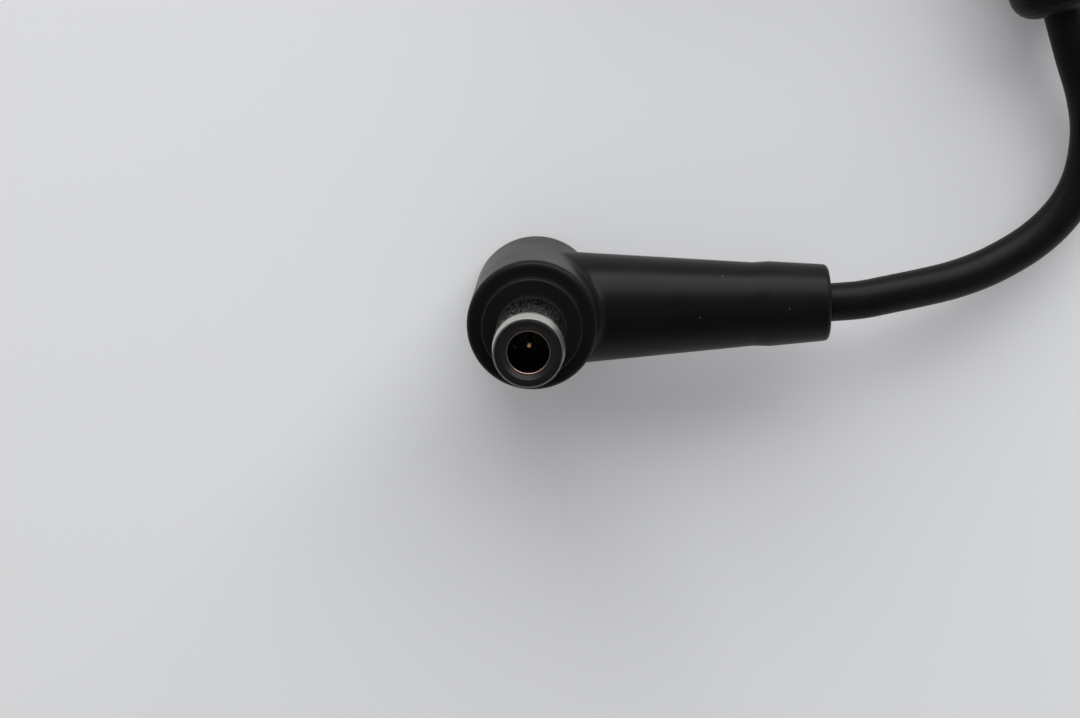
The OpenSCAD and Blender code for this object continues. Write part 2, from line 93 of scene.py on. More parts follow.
def add_node(
    tree: bpy.types.NodeTree,
    kind: str,
    settings: dict[str | int, Any] | None = None,
    links: dict[str | int, bpy.types.NodeSocket] | None = None,
    stops: Sequence[tuple[float, float]] = (),
) -> bpy.types.Node:
    """Adds one node with its settings and links.

    Args:
        tree: The node tree that gets the node.
        kind: The node's class, without the ShaderNode in front.
        settings: Values by name of a property, or by name or number of an input.
        links: Sockets of other nodes, by name or number of the input that reads each.
        stops: Place and grey level of each stop, where the node has a colour ramp.

    Returns:
        The new node.
    """
    node = tree.nodes.new("ShaderNode" + kind)
    for name, value in (settings or {}).items():
        if isinstance(name, str) and hasattr(node, name):
            setattr(node, name, value)
        else:
            node.inputs[name].default_value = value
    for name, socket in (links or {}).items():
        tree.links.new(socket, node.inputs[name])
    if stops:
        elements = node.color_ramp.elements
        while len(elements) < len(stops):
            elements.new(1.0)
        for element, (position, level) in zip(elements, stops):
            element.position = position
            element.color = (level, level, level, 1.0)
    return node


# --- finishes ---


@dataclass
class Surface:
    """A material's nodes while its finish is laid on."""

    tree: bpy.types.NodeTree
    place: bpy.types.NodeSocket
    mottle: bpy.types.NodeSocket
    shader: bpy.types.Node


@dataclass(frozen=True)
class Finish:
    """A finish: the shader's constants, and the mottle and grain of every surface.

    Lengths are in millimetres. The grain is the surface's own texture, and the
    mottle is how its colour and gloss vary from place to place.
    """

    name: str
    colour: str
    roughness: float
    metallic: float = 0.0
    ior: float = 1.5
    specular: float = 0.1
    mottle_colour: str = ""
    mottle_mm: float = 6.0
    roughness_spread: float = 0.04
    grain_mm: float = 0.3
    grain_depth_mm: float = 0.004
    dust_colour: str = "#6a6866"
    dust_mm: float = 0.0
    dust_share: float = 0.3

    def build(self) -> bpy.types.Material:
        """Makes the material.

        Returns:
            The material, with its colour, gloss and relief laid on.
        """
        material = bpy.data.materials.new(self.name)
        material.use_nodes = True
        tree = material.node_tree
        tree.nodes.clear()
        place = add_node(tree, "TexCoord").outputs["Object"]
        mottle = add_node(
            tree,
            "TexNoise",
            {"Scale": 1 / (self.mottle_mm * MM), "Detail": 3.0},
            {"Vector": place},
        ).outputs["Fac"]
        shader = add_node(
            tree,
            "BsdfPrincipled",
            {
                "Base Color": linear(self.colour),
                "Metallic": self.metallic,
                "Roughness": self.roughness,
                "IOR": self.ior,
                "Specular IOR Level": self.specular,
            },
        )
        add_node(tree, "OutputMaterial", links={"Surface": shader.outputs["BSDF"]})
        surface = Surface(tree, place, mottle, shader)
        self.tint(surface)
        self.gloss(surface)
        self.relief(surface)
        return material

    def tint(self, surface: Surface) -> bpy.types.NodeSocket:
        """Mixes the two colours by the mottle, under the dust.

        Args:
            surface: The material's nodes.

        Returns:
            The colour.
        """
        share = add_node(
            surface.tree,
            "ValToRGB",
            links={"Fac": surface.mottle},
            stops=MOTTLE_COLOUR_STOPS,
        )
        mix = add_node(
            surface.tree,
            "Mix",
            {
                "data_type": "RGBA",
                6: linear(self.colour),
                7: linear(self.mottle_colour or self.colour),
            },
            {0: share.outputs["Color"]},
        )
        colour = mix.outputs[2]
        if self.dust_mm:
            colour = self.dusted(surface, colour)
        surface.tree.links.new(colour, surface.shader.inputs["Base Color"])
        return colour

    def dusted(
        self, surface: Surface, colour: bpy.types.NodeSocket
    ) -> bpy.types.NodeSocket:
        """Adds sparse pale specks of dust.

        Args:
            surface: The material's nodes.
            colour: The colour under the dust.

        Returns:
            The colour with the dust.
        """
        tree = surface.tree
        cells = add_node(
            tree,
            "TexVoronoi",
            {"Scale": 1 / (DUST_CELL_MM * MM)},
            {"Vector": surface.place},
        )
        near = add_node(
            tree,
            "Math",
            {"operation": "LESS_THAN", 1: self.dust_mm / 2 / DUST_CELL_MM},
            {0: cells.outputs["Distance"]},
        )
        pick = add_node(tree, "SeparateColor", links={0: cells.outputs["Color"]})
        kept = add_node(
            tree,
            "Math",
            {"operation": "LESS_THAN", 1: self.dust_share},
            {0: pick.outputs[0]},
        )
        speck = add_node(
            tree,
            "Math",
            {"operation": "MULTIPLY"},
            {0: near.outputs[0], 1: kept.outputs[0]},
        )
        return add_node(
            tree,
            "Mix",
            {"data_type": "RGBA", 7: linear(self.dust_colour)},
            {0: speck.outputs[0], 6: colour},
        ).outputs[2]

    def gloss(self, surface: Surface) -> None:
        """Lets the roughness vary round its value.

        Args:
            surface: The material's nodes.
        """
        low, high = MOTTLE_GLOSS_RANGE
        spread = add_node(
            surface.tree,
            "MapRange",
            {
                "From Min": low,
                "From Max": high,
                "To Min": self.roughness - self.roughness_spread,
                "To Max": self.roughness + self.roughness_spread,
            },
            {"Value": surface.mottle},
        )
        surface.tree.links.new(
            spread.outputs["Result"], surface.shader.inputs["Roughness"]
        )

    def relief(self, surface: Surface) -> bpy.types.NodeSocket:
        """Raises the grain.

        Args:
            surface: The material's nodes.

        Returns:
            The normal.
        """
        grain = add_node(
            surface.tree,
            "TexNoise",
            {"Scale": 1 / (self.grain_mm * MM), "Detail": 2.0},
            {"Vector": surface.place},
        )
        bump = add_node(
            surface.tree,
            "Bump",
            {"Strength": 1.0, "Distance": self.grain_depth_mm * MM},
            {"Height": grain.outputs["Fac"]},
        )
        normal = bump.outputs["Normal"]
        surface.tree.links.new(normal, surface.shader.inputs["Normal"])
        return normal


@dataclass(frozen=True)
class MouldedPlastic(Finish):
    """Plastic from a spark-eroded mould or a die, with a fine even grain.

    The real grain is under 0.1 mm, and is drawn coarser so that it shows.
    """


@dataclass(frozen=True)
class PlatedMetal(Finish):
    """Plated or bare metal with a plain fine grain."""

    metallic: float = 1.0
    specular: float = 0.5


@dataclass(frozen=True)
class WornNickelWithPaintedLight(PlatedMetal):
    """Nickel that a socket slides over.

    From the root up it is a smooth foot that the socket never reaches, then the
    wall, with fine pits drawn out along the way the socket slides and tinted darker
    as painted shade, then the lead-in, painted paler as a band of painted
    reflection, and the rim, which keeps the plain colour. The zones start at heights
    on the barrel, and each has a soft edge. The real pits are finer, and are drawn
    as coarse as they need to show.
    """

    worn_from_mm: float = 22.4
    worn_edge_mm: float = 0.2
    bright_from_mm: float = 30.5
    bright_edge_mm: float = 0.15
    pits_edge_mm: float = 0.1
    rim_from_mm: float = 32.4
    rim_edge_mm: float = 0.03
    # Painted reflection: the lead-in's paler colour stands in for the bright band
    # reflected there.
    painted_reflection_colour: str = "#d2cfc6"
    bright_roughness: float = 0.28
    # Painted shade: the pits' darker colour stands in for the shade in them.
    pit_painted_shade_colour: str = "#3a3938"
    pit_roughness: float = 0.14
    pit_mm: float = 0.16
    pit_stretch: float = 4.0
    pit_depth_mm: float = 0.006
    pit_stops: tuple[tuple[float, float], ...] = ((0.5, 1.0), (0.6, 0.0))

    def above(
        self, surface: Surface, height_mm: float, edge_mm: float
    ) -> bpy.types.NodeSocket:
        """Masks what is above a height.

        Args:
            surface: The material's nodes.
            height_mm: The height on the barrel.
            edge_mm: How far the mask's edge fades, up and down.

        Returns:
            The mask, 1 above the height.
        """
        height = add_node(surface.tree, "SeparateXYZ", links={0: surface.place})
        mask = add_node(
            surface.tree,
            "MapRange",
            {
                "From Min": (height_mm - edge_mm) * MM,
                "From Max": (height_mm + edge_mm) * MM,
            },
            {"Value": height.outputs["Z"]},
        )
        return mask.outputs["Result"]

    def reflection_band(self, surface: Surface) -> bpy.types.NodeSocket:
        """Masks the lead-in, which stops at the rim, for its painted reflection band.

        Args:
            surface: The material's nodes.

        Returns:
            The mask, 1 on the lead-in.
        """
        lead_in = self.above(surface, self.bright_from_mm, self.bright_edge_mm)
        rim = self.above(surface, self.rim_from_mm, self.rim_edge_mm)
        return add_node(
            surface.tree, "Math", {"operation": "SUBTRACT"}, {0: lead_in, 1: rim}
        ).outputs[0]

    def pitted(self, surface: Surface) -> bpy.types.NodeSocket:
        """Masks the pits in the wall between the foot and the lead-in.

        Args:
            surface: The material's nodes.

        Returns:
            The mask, 1 in a pit.
        """
        tree = surface.tree
        drawn_out = add_node(
            tree,
            "Mapping",
            {"Scale": (1.0, 1.0, 1 / self.pit_stretch)},
            {"Vector": surface.place},
        )
        speckle = add_node(
            tree,
            "TexNoise",
            {"Scale": 1 / (self.pit_mm * MM), "Detail": 2.0},
            {"Vector": drawn_out.outputs["Vector"]},
        )
        pits = add_node(
            tree,
            "ValToRGB",
            links={"Fac": speckle.outputs["Fac"]},
            stops=self.pit_stops,
        )
        foot = self.above(surface, self.worn_from_mm, self.worn_edge_mm)
        bright = self.above(surface, self.bright_from_mm, self.pits_edge_mm)
        wall = add_node(tree, "Math", {"operation": "SUBTRACT"}, {0: foot, 1: bright})
        return add_node(
            tree,
            "Math",
            {"operation": "MULTIPLY"},
            {0: wall.outputs[0], 1: pits.outputs["Color"]},
        ).outputs[0]

    def tint(self, surface: Surface) -> bpy.types.NodeSocket:
        """Tints the pits darker than the wall as painted shade, and the lead-in paler
        as a painted reflection band.

        Args:
            surface: The material's nodes.

        Returns:
            The colour.
        """
        colour = super().tint(surface)
        # The pits get painted shade, and the lead-in a painted reflection band.
        for mask, shade in (
            (self.pitted(surface), self.pit_painted_shade_colour),
            (self.reflection_band(surface), self.painted_reflection_colour),
        ):
            colour = add_node(
                surface.tree,
                "Mix",
                {"data_type": "RGBA", 7: linear(shade)},
                {0: mask, 6: colour},
            ).outputs[2]
        surface.tree.links.new(colour, surface.shader.inputs["Base Color"])
        return colour

    def gloss(self, surface: Surface) -> None:
        """Gives the wall, its pits and the lead-in each its gloss.

        Args:
            surface: The material's nodes.
        """
        wall = add_node(
            surface.tree,
            "Mix",
            {2: self.roughness, 3: self.pit_roughness},
            {0: self.pitted(surface)},
        )
        gloss = add_node(
            surface.tree,
            "Mix",
            {3: self.bright_roughness},
            {0: self.reflection_band(surface), 2: wall.outputs[0]},
        )
        surface.tree.links.new(gloss.outputs[0], surface.shader.inputs["Roughness"])

    def relief(self, surface: Surface) -> bpy.types.NodeSocket:
        """Sinks the pits under the grain.

        Args:
            surface: The material's nodes.

        Returns:
            The normal.
        """
        grain = super().relief(surface)
        sunk = add_node(
            surface.tree,
            "Bump",
            {"invert": True, "Strength": 1.0, "Distance": self.pit_depth_mm * MM},
            {"Height": self.pitted(surface), "Normal": grain},
        )
        normal = sunk.outputs["Normal"]
        surface.tree.links.new(normal, surface.shader.inputs["Normal"])
        return normal


@dataclass(frozen=True)
class TwistedWire(PlatedMetal):
    """Fine wires twisted together: slanted ridges, 0.36 of wave_mm apart."""

    wave_mm: float = 7.0
    wave_distortion: float = 0.4
    ridge_depth_mm: float = 0.08

    def relief(self, surface: Surface) -> bpy.types.NodeSocket:
        """Raises the wires as slanted ridges.

        Args:
            surface: The material's nodes.

        Returns:
            The normal.
        """
        wires = add_node(
            surface.tree,
            "TexWave",
            {
                "wave_type": "BANDS",
                "bands_direction": "DIAGONAL",
                "Scale": 1 / (self.wave_mm * MM),
                "Distortion": self.wave_distortion,
            },
            {"Vector": surface.place},
        )
        bump = add_node(
            surface.tree,
            "Bump",
            {"Strength": 1.0, "Distance": self.ridge_depth_mm * MM},
            {"Height": wires.outputs["Fac"]},
        )
        normal = bump.outputs["Normal"]
        surface.tree.links.new(normal, surface.shader.inputs["Normal"])
        return normal


# Soft black PVC, moulded over the joint: a low sheen that spreads along the arm
# without a hard highlight, and a few specks of dust.
OVERMOULD_PVC = MouldedPlastic(
    "soft_pvc_moulded",
    "#0e0e10",
    0.35,
    mottle_colour="#101011",
    grain_mm=0.25,
    dust_mm=0.13,
)
# The stiffer black inner mould, of PBT: duller than the overmould round it.
INNER_MOULD_PBT = MouldedPlastic(
    "black_pbt_moulded", "#0f0f11", 0.42, mottle_colour="#121214", grain_mm=0.2
)
# Black nylon between the barrel's two contacts: smooth, with more sheen than the
# moulds on its bevelled front.
INSULATOR_NYLON = MouldedPlastic(
    "black_nylon_moulded",
    "#111113",
    0.34,
    specular=0.22,
    mottle_colour="#151416",
    grain_mm=0.2,
)
# Nickel plate on drawn brass, which plugging has dulled to a warm grey: glossy
# pits in the wall, darkened with painted shade, a smooth foot and a lead-in painted
# paler as a band of painted reflection.
SLEEVE_NICKEL = WornNickelWithPaintedLight(
    "nickel_plate_drawn",
    "#8b8a86",
    0.27,
    mottle_colour="#787773",
    grain_depth_mm=0.001,
)
# Nickel plate on the stamped lug inside the mould: clean and pale.
LUG_NICKEL = PlatedMetal("nickel_plate_stamped", "#b4b2ab", 0.3)
# Phosphor bronze, rolled and formed: its brown copper tint shows on the lip.
CONTACT_BRONZE = PlatedMetal(
    "phosphor_bronze_rolled", "#94837a", 0.28, mottle_colour="#846f63"
)
# Gold flash on the thin turned pin: a warm yellow point in the dark bore.
PIN_GOLD = PlatedMetal("gold_flash_turned", "#f3d9a4", 0.3, mottle_colour="#e6c68a")
# Tin solder, melted and left to set: bright grey with a softly frosted skin.
SOLDER_TIN = PlatedMetal(
    "tin_solder_melted", "#b3b4b6", 0.32, mottle_colour="#9c9da0"
)
# One drawn and tinned copper wire: bright, with a faint drawn grain.
STRAND_TIN = PlatedMetal(
    "tinned_copper_drawn",
    "#b9babb",
    0.26,
    mottle_colour="#a6a6a5",
    mottle_mm=1.5,
    grain_mm=0.08,
    grain_depth_mm=0.003,
)
# Bare copper wires, twisted or laid round the cores: a red-brown ridged sheen.
COPPER_WIRE = TwistedWire(
    "copper_wire_twisted", "#c98a62", 0.34, mottle_colour="#b17450"
)
# The cord's extruded PVC jacket: black, with one soft line of light along it.
JACKET_PVC = MouldedPlastic(
    "pvc_jacket_extruded",
    "#0d0d0e",
    0.4,
    mottle_colour="#101011",
    grain_mm=0.5,
    grain_depth_mm=0.005,
)
# Thin coloured PVC, extruded on the cores: even and waxy.
CORE_WHITE = MouldedPlastic(
    "white_insulation_extruded", "#dcdad2", 0.4, mottle_colour="#d2cfc4"
)
CORE_BLUE = MouldedPlastic(
    "blue_insulation_extruded", "#2c5a98", 0.4, mottle_colour="#27508a"
)
# Sintered ferrite: dark grey, dull and slightly gritty.
FERRITE_SINTERED = Finish(
    "ferrite_sintered",
    "#39393b",
    0.6,
    mottle_colour="#323234",
    grain_mm=0.2,
    grain_depth_mm=0.012,
)


# --- pieces ---


def material_of(finish: Finish) -> bpy.types.Material:
    """Gives the finish's material, made at its first use."""
    return bpy.data.materials.get(finish.name) or finish.build()


def dress(node: str, finish: Finish) -> None:
    """Puts one finish in every material slot of a CAD node.

    Args:
        node: The CAD node's name.
        finish: The finish that it gets.
    """
    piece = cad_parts[node]
    material = material_of(finish)
    if not piece.material_slots:
        piece.data.materials.append(material)
    for slot in piece.material_slots:
        slot.material = material
    LOG.info("%s has %s", node, finish.name)


def add_object(name: str, data: bpy.types.ID) -> bpy.types.Object:
    """Makes an object and links it to the scene.

    Args:
        name: The object's name.
        data: Its mesh, curve, light or camera.

    Returns:
        The object.
    """
    piece = bpy.data.objects.new(name, data)
    bpy.context.scene.collection.objects.link(piece)
    return piece


def rank(place: Vector) -> float:
    """Ranks a place in millimetres by its height, then by its Y, then by its X."""
    x, y, z = (round(length / MM, 4) for length in place)
    return x + RANK_STEP * (y + RANK_STEP * z)


def turned(
    name: str, outline: Sequence[tuple[float, float]], finish: Finish
) -> bpy.types.Object:
    """Spins an outline once round the barrel's centre line.

    Args:
        name: The new piece's name.
        outline: Radius and height of each corner, in millimetres, pole to pole.
        finish: The finish that it gets.

    Returns:
        The piece, closed, smooth but for its sharp edges, and riding on the body.
    """
    form = bmesh.new()
    corners = [
        form.verts.new((radius * MM, 0.0, height * MM)) for radius, height in outline
    ]
    edges = [form.edges.new(pair) for pair in zip(corners, corners[1:])]
    bmesh.ops.spin(
        form,
        geom=[*corners, *edges],
        cent=(0, 0, 0),
        axis=(0, 0, 1),
        angle=math.tau,
        steps=SPIN_STEPS,
        use_merge=True,
    )
    bmesh.ops.remove_doubles(form, verts=form.verts, dist=MERGE_DISTANCE)
    bmesh.ops.recalc_face_normals(form, faces=form.faces)
    # The spin's order changes from run to run, so points and faces get a fixed one.
    form.verts.sort(key=lambda corner: rank(corner.co))
    form.faces.sort(key=lambda face: rank(face.calc_center_median()))
    mesh = bpy.data.meshes.new(name)
    form.to_mesh(mesh)
    form.free()
    mesh.shade_smooth()
    mesh.set_sharp_from_angle(angle=math.radians(SHARP_DEGREES))
    mesh.materials.append(material_of(finish))
    piece = add_object(name, mesh)
    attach(piece, "root")
    LOG.info("%s has %d faces", name, len(mesh.polygons))
    return piece


def new_tube(name: str, radius: float, smoothness: int) -> bpy.types.Curve:
    """Makes an empty curve with a round section and closed ends.

    Args:
        name: The curve's name.
        radius: The section's radius, in metres.
        smoothness: How finely the section is divided.

    Returns:
        The curve, which has no spline yet.
    """
    data = bpy.data.curves.new(name, "CURVE")
    data.dimensions = "3D"
    data.bevel_depth = radius
    data.bevel_resolution = smoothness
    data.use_fill_caps = True
    return data


# --- the cord ---


@dataclass
class Cord:
    """The cord from the arm through the bead to its coil and its bare end.

    Sizes in millimetres, as in the part's own source.
    """

    diameter: float = 4.3
    smoothness: int = 6
    exit_point: Point = (32.6, 0.0, 8.2)
    to_bead: Sequence[Point] = (
        (36, 0.2, 8.1), (39.5, 0.7, 7.5), (43, 1.2, 6.7), (46.5, 1.8, 5.8),
        (50, 2.8, 4.9), (53, 4.1, 4.2), (55.6, 5.6, 3.7), (57.8, 7.4, 3.4),
        (59.6, 9.5, 3.2), (60.9, 12, 3.1), (61.6, 14.9, 3.1), (61.7, 18.3, 3.4),
        (60.9, 22, 4.3),
    )
    bead_start: Point = (58, 31, 5.2)
    bead_heading: tuple[float, float] = (-0.28, 0.96)
    bead_steps: Sequence[float] = (-5, 0, 5, 10, 15, 20, 25, 30)
    to_coil: Sequence[Point] = (
        (49.4, 64.6, 4.5), (50.1, 69.4, 3.1), (51.2, 74.2, 2.3), (52.1, 79, 2.15),
    )
    coil_centre: tuple[float, float] = (23.5, 84.5)
    coil_outer_r: float = 28.8
    coil_pitch: float = 4.4
    turns_per_layer: int = 3
    points_per_turn: int = 24
    climb_turns: float = 0.5
    tail: Sequence[Point] = (
        (52.4, 89.8, 6.4), (53, 94.6, 6.2), (54.1, 99, 5.1), (55.4, 102.8, 3.4),
        (56.7, 106.3, 2.4), (57.8, 109.9, 2.15),
    )
    rides_along: Sequence[str] = (
        "bead_cover", "ferrite_core", "tail_positive_insulation",
        "tail_signal_insulation",
    )

    def coil(self) -> list[Point]:
        """Winds one layer inwards on the floor, and one outwards on top of it.

        Returns:
            Points along the coil, in millimetres.
        """
        inner_r = self.coil_outer_r - self.turns_per_layer * self.coil_pitch
        steps = self.turns_per_layer * self.points_per_turn
        points: list[Point] = []
        for step in range(2 * steps + 1):
            turns = step / self.points_per_turn
            past_inner = turns - self.turns_per_layer
            if step <= steps:
                radius = self.coil_outer_r - self.coil_pitch * turns
            else:
                radius = inner_r + self.coil_pitch * past_inner
            climb = min(1.0, max(0.0, past_inner / self.climb_turns + 0.5))
            height = self.diameter * (0.5 + climb * climb * (3 - 2 * climb))
            angle = math.tau * turns
            points.append((
                self.coil_centre[0] + radius * math.cos(angle),
                self.coil_centre[1] + radius * math.sin(angle),
                height,
            ))
        return points

    def route(self) -> list[Vector]:
        """Lists every point that the cord's centre line passes.

        Returns:
            The points, in metres.
        """
        x, y, z = self.bead_start
        along = [
            (x + s * self.bead_heading[0], y + s * self.bead_heading[1], z)
            for s in self.bead_steps
        ]
        points = [
            self.exit_point, *self.to_bead, *along, *self.to_coil, *self.coil(),
            *self.tail,
        ]
        return [Vector(p) * MM for p in points]

    def build(self, leads: Sequence[bpy.types.Object]) -> bpy.types.Object:
        """Makes the cord as one smooth curve with a round section.

        Args:
            leads: The new pieces on its bare end; not used.

        Returns:
            The cord.
        """
        route = self.route()
        last = len(route) - 1
        data = new_tube("cord", self.diameter / 2 * MM, self.smoothness)
        data.resolution_u = self.smoothness
        spline = data.splines.new("BEZIER")
        spline.bezier_points.add(last)
        for i, (knot, point) in enumerate(zip(spline.bezier_points, route)):
            slope = (route[min(i + 1, last)] - route[max(i - 1, 0)]) / HANDLE_DIVISOR
            knot.handle_left_type = knot.handle_right_type = "FREE"
            knot.co = point
            knot.handle_left = point - slope
            knot.handle_right = point + slope
        data.materials.append(material_of(JACKET_PVC))
        piece = add_object("cord", data)
        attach(piece, "root")
        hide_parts("cord_run", "cord_coil", "cord_tail")
        return piece

    def dress(self) -> None:
        """Dresses the layers inside the arm and the insulation of the cores."""
        dress("jacket_end", JACKET_PVC)
        for node in ("shield_end", "positive_conductor", "signal_conductor"):
            dress(node, COPPER_WIRE)
        for node in ("positive_insulation", "tail_positive_insulation"):
            dress(node, CORE_WHITE)
        for node in ("signal_insulation", "tail_signal_insulation"):
            dress(node, CORE_BLUE)


class Wire(Enum):
    """The three bundles of wires at the bare end, by the CAD node of each."""

    SHIELD = "tail_shield"
    POSITIVE = "tail_positive_tip"
    SIGNAL = "tail_signal_tip"


@dataclass
class BareEnd:
    """The bare end: each core's strands, twisted and tinned.

    Sizes in millimetres. A bundle's path is given along, beside and above the
    end of the cord.
    """

    end_point: Point = (57.8, 109.9, 2.15)
    heading: tuple[float, float] = (0.28, 0.96)
    diameters: Sequence[tuple[Wire, float]] = (
        (Wire.SHIELD, 1.1), (Wire.POSITIVE, 0.9), (Wire.SIGNAL, 0.5),
    )
    positive_side: float = 0.56
    signal_side: float = -0.76
    core_from: float = 7.4
    core_to: float = 11.95
    core_spans: int = 3
    shield_path: Sequence[Point] = (
        (-0.6, 0.0, 1.2), (0.4, 0.05, 1.3), (3.0, 0.9, 1.35), (6.0, 2.1, 0.9),
        (9.0, 3.0, 0.0), (12.0, 3.6, -0.9),
    )
    strands: int = 6
    lay: float = 5.0
    step: float = 0.4
    smoothness: int = 2

    def knots(self, wire: Wire) -> list[Vector]:
        """Lists the few points that shape one bundle's path.

        Args:
            wire: Which bundle.

        Returns:
            The points, along, beside and above the end of the cord.
        """
        if wire is Wire.SHIELD:
            return [Vector(p) for p in self.shield_path]
        side = self.positive_side if wire is Wire.POSITIVE else self.signal_side
        span = (self.core_to - self.core_from) / self.core_spans
        return [
            Vector((self.core_from + span * k, side, 0.0))
            for k in range(self.core_spans + 1)
        ]

    def path(self, wire: Wire) -> list[Vector]:
        """Runs a smooth line through a bundle's knots.

        Args:
            wire: Which bundle.

        Returns:
            Close points along the middle of the bundle, in metres.
        """
        knots = self.knots(wire)
        along = Vector((*self.heading, 0.0)).normalized()
        left = Vector((-along.y, along.x, 0.0))
        spans = len(knots) - 1
        points: list[Vector] = []
        for i in range(spans):
            before, after = knots[max(i - 1, 0)], knots[min(i + 2, spans)]
            start, stop = knots[i], knots[i + 1]
            count = max(2, round((stop - start).length / self.step))
            for k in range(count + (i == spans - 1)):
                t = k / count
                local = 0.5 * (
                    2 * start
                    + (stop - before) * t
                    + (2 * before - 5 * start + 4 * stop - after) * t * t
                    + (3 * start - before - 3 * stop + after) * t ** 3
                )
                place = Vector(self.end_point) + along * local.x + left * local.y
                points.append((place + Vector((0.0, 0.0, local.z))) * MM)
        return points

    def strand(
        self, path: Sequence[Vector], reach: float, start: float
    ) -> list[Vector]:
        """Winds one strand round a path.

        Args:
            path: Close points along the middle of the bundle, in metres.
            reach: How far the strand lies from the middle, in metres.
            start: Where round the middle it starts, in turns.

        Returns:
            The strand's points, in metres.
        """
        points: list[Vector] = []
        travelled = 0.0
        for i, place in enumerate(path):
            before, after = path[max(i - 1, 0)], path[min(i + 1, len(path) - 1)]
            travelled += (place - before).length
            side = (after - before).cross(Vector((0, 0, 1))).normalized()
            over = side.cross(after - before).normalized()
            turn = math.tau * (start + travelled / (self.lay * MM))
            points.append(
                place + (side * math.cos(turn) + over * math.sin(turn)) * reach
            )
        return points

    def bundle(self, wire: Wire, diameter: float) -> bpy.types.Object:
        """Winds one bundle of strands round a middle strand.

        Args:
            wire: Which bundle.
            diameter: Its diameter over the strands.

        Returns:
            The bundle, in the place of its plain rod.
        """
        name = wire.value + "_strands"
        path = self.path(wire)
        strand_r = diameter / (2 * STRANDS_ACROSS) * MM
        data = new_tube(name, strand_r, self.smoothness)
        data.resolution_u = self.smoothness
        for number in range(self.strands + 1):
            reach = 0.0 if number == self.strands else 2 * strand_r
            spline = data.splines.new("POLY")
            spline.points.add(len(path) - 1)
            spots = self.strand(path, reach, number / self.strands)
            for knot, spot in zip(spline.points, spots):
                knot.co = (*spot, 1.0)
            spline.use_smooth = True
        data.materials.append(material_of(STRAND_TIN))
        piece = add_object(name, data)
        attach(piece, "root")
        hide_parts(wire.value)
        LOG.info("%s has %d strands", name, self.strands + 1)
        return piece

    def build(self) -> list[bpy.types.Object]:
        """Makes the three bundles."""
        return [self.bundle(wire, diameter) for wire, diameter in self.diameters]


@dataclass
class Bead:
    """The ferrite bead in its moulded cover."""

    def dress(self) -> None:
        """Dresses the cover and the core."""
        dress("bead_cover", OVERMOULD_PVC)
        dress("ferrite_core", FERRITE_SINTERED)


# --- the plug ---


@dataclass
class Body:
    """The moulded head and arm, and the inner mould."""

    def dress(self) -> None:
        """Dresses the two moulds."""
        dress("overmould", OVERMOULD_PVC)
        dress("inner_mould", INNER_MOULD_PBT)


@dataclass
class Barrel:
    """The barrel's nested pieces, their lugs and the solder."""

    def dress(self) -> None:
        """Dresses the pieces from the outside in."""
        dress("outer_sleeve", SLEEVE_NICKEL)
        dress("sleeve_insulator", INSULATOR_NYLON)
        dress("spring_contact", CONTACT_BRONZE)
        dress("pin_holder", INSULATOR_NYLON)
        dress("negative_lug", LUG_NICKEL)
        dress("positive_lug", CONTACT_BRONZE)
        for node in ("negative_solder", "positive_solder", "signal_solder"):
            dress(node, SOLDER_TIN)


@dataclass
class Pin:
    """The turned pin, with a nearly flat end and a small round at its edge.

    Sizes in millimetres, as in the part's own source.
    """

    radius: float = 0.3
    tail_z: float = 7.6
    collar_r: float = 0.55
    collar_z: tuple[float, float] = (16.0, 16.6)
    end_z: float = 28.5
    end_round: float = 0.13
    crown: float = 0.02

    def outline(self) -> list[tuple[float, float]]:
        """Draws the pin's outline from its tail to its end.

        Returns:
            Radius and height of each corner.
        """
        low, high = self.collar_z
        side, top = self.radius, self.end_z - self.crown
        corner = ARC_MIDDLE * self.end_round
        return [
            (0.0, self.tail_z),
            (side, self.tail_z),
            (side, low),
            (self.collar_r, low),
            (self.collar_r, high),
            (side, high),
            (side, top - self.end_round),
            (side - corner, top - corner),
            (side - self.end_round, top),
            (side / 2, self.end_z - ARC_MIDDLE * self.crown),
            (0.0, self.end_z),
        ]

    def build(self) -> None:
        """Spins the pin and puts it in the place of the plain one."""
        piece = turned("contact_pin", self.outline(), PIN_GOLD)
        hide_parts("centre_pin")


# --- the studio ---


@dataclass(frozen=True)
class SoftLight:
    """A soft rectangular light, in metres and watts."""

    name: str
    at: Point
    towards: Point
    size: tuple[float, float]
    power: float

    def build(self) -> None:
        """Makes the light, which the camera doesn't see."""
        data = bpy.data.lights.new(self.name, "AREA")
        data.shape = "RECTANGLE"
        data.size, data.size_y = self.size
        data.energy = self.power
        piece = add_object(self.name, data)
        piece.location = self.at
        away = Vector(self.at) - Vector(self.towards)
        piece.rotation_euler = away.to_track_quat("Z", "Y").to_euler()
        piece.visible_camera = False


